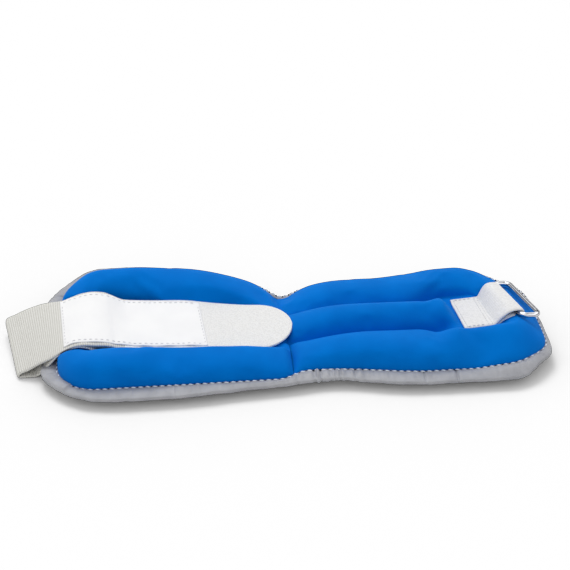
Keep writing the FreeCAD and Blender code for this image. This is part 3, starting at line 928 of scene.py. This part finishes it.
label_low, label_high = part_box("strap_label")
label_half = (label_high[1] - label_low[1]) / 2
label_thick = 0.0006
label_cloth, tree, shader = new_material("white_label_satin", Roughness=0.62,
                                         Specular_IOR_Level=0.35, Sheen_Weight=0.1)
mottled(tree, shader, grain(tree, 60, 2), (0.93, 0.93, 0.94), (0.96, 0.96, 0.965))
relief(tree, shader, (grain(tree, 3000, 1, (1, 0.3, 1)), 0.00005, 0.4),
       (grain(tree, 90, 3), 0.0006, 0.35))


def label_lie(points):
    """The label puckers slightly along its sewn edges."""
    out = strap_lie(points)
    near = ramp(np.abs(points[:, 1]), label_half - 0.006, label_half)
    out[:, 2] += 0.00022 * near * np.sin(points[:, 0] * 2 * math.pi / 0.0135)
    return out


line, line_run = part_line(whole_line, whole_run, label_low[0], label_high[0])
label = strip_mesh("strap_label_cloth", line, line_run, label_half, label_thick, label_lie,
                   offset=(strap_thick + label_thick) / 2)
label.data.materials.append(label_cloth)
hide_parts("strap_label")
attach(label, "strap_tongue")

thread_white, tree, shader = new_material("white_thread", Roughness=0.7)
mottled(tree, shader, grain(tree, 900, 2), (0.60, 0.60, 0.62), (0.74, 0.74, 0.76))
relief(tree, shader, (grain(tree, 5000, 1), 0.00006, 0.5))
white_thread_length, white_thread_radius = 0.0019, 0.00024


def on_strap(x, y, above):
    """Points above the middle of the upper webbing, with the ways along it and up from it."""
    keep = whole_run > turn_run
    line, steps = whole_line[keep], unit(np.gradient(whole_line[keep], axis=0))
    px, pz = (np.interp(x, line[:, 0], line[:, k]) for k in (0, 1))
    sx, sz = (np.interp(x, line[:, 0], steps[:, k]) for k in (0, 1))
    points = np.c_[px - sz * above, y, pz + sx * above]
    return points, np.c_[sx, 0 * sx, sz], np.c_[-sz, 0 * sx, sx]


inset, label_stitch = 0.0019, 0.0031
count_long = int((label_high[0] - label_low[0] - 2 * inset) / label_stitch)
count_wide = int((2 * label_half - 2 * inset) / label_stitch)
xs = label_low[0] + inset + label_stitch * (0.5 + np.arange(count_long))
ys = -label_half + inset + label_stitch * (0.5 + np.arange(count_wide))
above = strap_thick / 2 + label_thick + 0.00008
rows = [on_strap(xs, np.full(len(xs), y), above)
        for y in (-label_half + inset, label_half - inset)]
for x in (label_low[0] + inset, label_high[0] - inset):
    centres, _, ups = on_strap(np.full(len(ys), x), ys, above)
    rows.append((centres, np.tile((0, 1.0, 0), (len(ys), 1)), ups))
centres, ways, ups = (np.vstack(part) for part in zip(*rows))
label_seam = shaded_smooth(threads("label_stitch", label_lie(centres), ways, ups,
                                   white_thread_length, white_thread_radius))
label_seam.data.materials.append(thread_white)
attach(label_seam, "strap_tongue")

# Ring tab. Smooth white webbing looped round the ring, both ends sewn down together on the
# flat patch at the right end by a border and a double row of stitches.

tab_axis = np.array(joint("tab_lift")["axis"])
tab_way = np.array([-tab_axis[1], tab_axis[0], 0])
tab_turn = np.array([joint("tab_lift")["pos_m"][0], 0, 0])
bar_place = np.array(joint("ring_swing")["pos_m"])
bar_axis = np.array(joint("ring_swing")["axis"])
bar_fall = bar_axis[2] / math.hypot(bar_axis[0], bar_axis[1])
bar_along = float((bar_place - tab_turn) @ tab_way)
tab_half = 0.0225
tab_thick = 0.0012
wire_radius, eye_play = 0.0015, 0.0003
eye = wire_radius + eye_play + tab_thick / 2
tab_level, tab_level_to, tab_fall = 0.0074, 0.0173, 0.2344


def tab_land(side_step):
    """Height of the tab's middle where it is sewn down, at one distance across it."""
    return tab_level + tab_fall * max(tab_level_to - side_step, 0)


def tab_line(side_step):
    """The tab's middle line at one distance across it: (along the tab, height)."""
    bar = bar_place[2] - bar_fall * side_step
    top = bar + eye
    land = tab_land(side_step)
    rise = top - land
    line = [(-0.0146, land), (-0.0060, land), (0.0024, land + 0.0001),
            (0.0040, land + 0.12 * rise), (0.0066, land + 0.58 * rise),
            (0.0096, land + 0.92 * rise), (0.0126, top + 0.0002), (bar_along, top),
            (bar_along + eye * 0.75, bar + eye * 0.72), (bar_along + eye, bar),
            (bar_along + eye * 0.72, bar - eye * 0.75), (bar_along, bar - eye),
            (0.0116, land + 0.80 * rise - eye * 0.9), (0.0086, land + 0.60 * rise - 0.0014),
            (0.0056, land + 0.16 * rise), (0.0030, land - 0.0009)]
    return smooth_path(line, 0.0007)


def tab_place(along, step):
    """Plan of the tab, which is sewn down square and turns a little to meet the ring."""
    along = np.atleast_1d(along).astype(float)
    turned = ramp(along, 0.0, 0.0125)
    out = tab_turn + along[:, None] * tab_way
    out[:, 0] -= tab_axis[0] * step * turned
    out[:, 1] -= tab_axis[1] * step
    return out


steps = np.linspace(-1, 1, 19) * tab_half
lines = [tab_line(step) for step in steps]
middle_run = lines[len(lines) // 2][1]
length = len(middle_run)
surface = np.zeros((length, len(steps), 3))
for k, (step, (line, run)) in enumerate(zip(steps, lines)):
    even = np.linspace(0, run[-1], length)
    along, height = (np.interp(even, run, line[:, j]) for j in (0, 1))
    surface[:, k] = tab_place(along, step) + np.c_[0 * even, 0 * even, height]
normal = unit(np.cross(np.gradient(surface, axis=0), np.gradient(surface, axis=1)))
if normal[2, len(steps) // 2, 2] < 0:
    normal = -normal
thin = tab_thick / 2 * (1 - 0.4 * ramp(np.abs(steps) / tab_half, 0.9, 1.0))[None, :, None]
points = np.concatenate([surface + normal * thin, (surface - normal * thin)[:, ::-1]], axis=1)
sides = points.shape[1]
tab_whole = mesh_object("tab_whole", points.reshape(-1, 3), tube_faces(length, sides))
edited(tab_whole, faced_outward)
store_run(tab_whole, np.repeat(np.linspace(0, middle_run[-1], length), sides))
shaded_smooth(tab_whole)

tab_webbing, tree, shader = new_material("white_tab_webbing", Roughness=0.85,
                                         Specular_IOR_Level=0.25)
yarn = grain(tree, 700, 3)
mottled(tree, shader, yarn, (0.77, 0.768, 0.765), (0.86, 0.858, 0.86))
relief(tree, shader, (rib_wave(tree, 0.0012), 0.00005, 0.5), (yarn, 0.00010, 0.4),
       (grain(tree, 110, 2), 0.0005, 0.3))
tab = piece_of(tab_whole, "ring_tab_webbing", [True] * len(tab_whole.data.polygons), [tab_webbing])
bpy.data.objects.remove(tab_whole)
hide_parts("ring_tab_patch", "ring_tab_loop")
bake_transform(tab)

tab_stitch = 0.0027
tab_inset = 0.0018
sewn = [(along, step, (0, -1, tab_fall)) for along in (-0.0128, 0.0002, 0.0022)
        for step in np.arange(-tab_half + 0.0022, tab_half - tab_inset, tab_stitch)]
sewn += [(along, side * (tab_half - tab_inset), tab_way) for side in (-1, 1)
         for along in np.arange(-0.0115, -0.0008, tab_stitch)]
centres = [tab_place(along, step)[0] + (0, 0, tab_land(step) + tab_thick / 2 + 0.00016)
           for along, step, _ in sewn]
tab_seam = shaded_smooth(threads("tab_stitch", centres, np.array([way for _, _, way in sewn]),
                                 np.tile((0, tab_fall, 1.0), (len(sewn), 1)), 0.0018,
                                 white_thread_radius))
tab_seam.data.materials.append(thread_white)
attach(tab_seam, "panel_right_end")

# Ring. Round steel wire bent to a rectangle, welded and chrome plated. It hangs in the
# tab's loop, and the strap passes through it to close the cuff.

chrome, tree, shader = new_material("chrome_plate", Metallic=1.0, Roughness=0.14)
mottled(tree, shader, grain(tree, 400, 3), (0.62, 0.62, 0.64), (0.74, 0.74, 0.76))
relief(tree, shader, (grain(tree, 300, 2), 0.00006, 0.3))
for slot in frame["nodes"]["strap_ring"].material_slots:
    slot.material = chrome

# Stage. A white floor that only takes the cuff's shadow, even white light all round, and
# one large soft lamp above and behind.

bpy.ops.mesh.primitive_plane_add(size=4.0, location=(0, 0, 0))
floor = bpy.context.object
floor.name = "floor"
floor.data.materials.append(
    new_material("white_floor", Base_Color=(0.9, 0.9, 0.9, 1), Roughness=0.9)[0])
floor.is_shadow_catcher = True

world = bpy.data.worlds.new("studio")
bpy.context.scene.world = world
world.use_nodes = True
tree = world.node_tree
tree.nodes.clear()
rays = add(tree, "ShaderNodeLightPath")
seen = add(tree, "ShaderNodeMath", operation="MAXIMUM")
tree.links.new(rays.outputs["Is Camera Ray"], seen.inputs[0])
tree.links.new(rays.outputs["Is Transmission Ray"], seen.inputs[1])
soft = add(tree, "ShaderNodeBackground", Color=(1, 1, 1, 1), Strength=0.66)
backdrop = add(tree, "ShaderNodeBackground", Color=(1, 1, 1, 1), Strength=1.0)

# What the ring mirrors: dark below and overhead, bright all round.
where = add(tree, "ShaderNodeTexCoord")
parts = add(tree, "ShaderNodeSeparateXYZ")
shade = add(tree, "ShaderNodeValToRGB")
bands = shade.color_ramp.elements
bands[0].position, bands[1].position = 0.18, 0.42
bands[0].color = (0.03, 0.03, 0.035, 1)
bands[1].color = (1.6, 1.6, 1.6, 1)
bands.new(0.78).color = (1.3, 1.3, 1.3, 1)
bands.new(0.95).color = (0.25, 0.25, 0.26, 1)
tree.links.new(where.outputs["Generated"], parts.inputs[0])
tree.links.new(parts.outputs["Z"], shade.inputs["Fac"])
sky = add(tree, "ShaderNodeBackground")
tree.links.new(shade.outputs["Color"], sky.inputs["Color"])


def mixed(fac, first, second):
    mix = add(tree, "ShaderNodeMixShader")
    for number, output in enumerate((fac, first, second)):
        tree.links.new(output, mix.inputs[number])
    return mix.outputs[0]


mirrored = mixed(rays.outputs["Is Glossy Ray"], soft.outputs[0], sky.outputs[0])
tree.links.new(mixed(seen.outputs[0], mirrored, backdrop.outputs[0]),
               add(tree, "ShaderNodeOutputWorld").inputs["Surface"])


def placed(name, data, place, way):
    """Puts a lamp or a camera at a place, looking along a way."""
    obj = bpy.data.objects.new(name, data)
    bpy.context.collection.objects.link(obj)
    obj.location = place
    obj.rotation_mode = "QUATERNION"
    obj.rotation_quaternion = Vector(way).to_track_quat("-Z", "Y")
    return obj


key = bpy.data.lights.new("key", "AREA")
key.shape = "RECTANGLE"
key.size, key.size_y = 0.9, 0.7
key.energy = 9.8
key_place = np.array((-0.25, 0.75, 1.35))
placed("key", key, key_place, -key_place)

elevation, azimuth, distance = math.radians(34.68), math.radians(-5.34), 0.85
aim = np.array([0, 0.0065, 0])
back = np.array([math.sin(azimuth) * math.cos(elevation), -math.cos(azimuth) * math.cos(elevation),
                 math.sin(elevation)])
view = bpy.data.cameras.new("view")
view.lens = 89.0
view.sensor_width = 36.0
view.shift_x, view.shift_y = -0.016, 0.0818
camera = placed("view", view, aim + back * distance, -back)
bpy.context.scene.camera = camera
bpy.context.scene.view_settings.view_transform = "Standard"
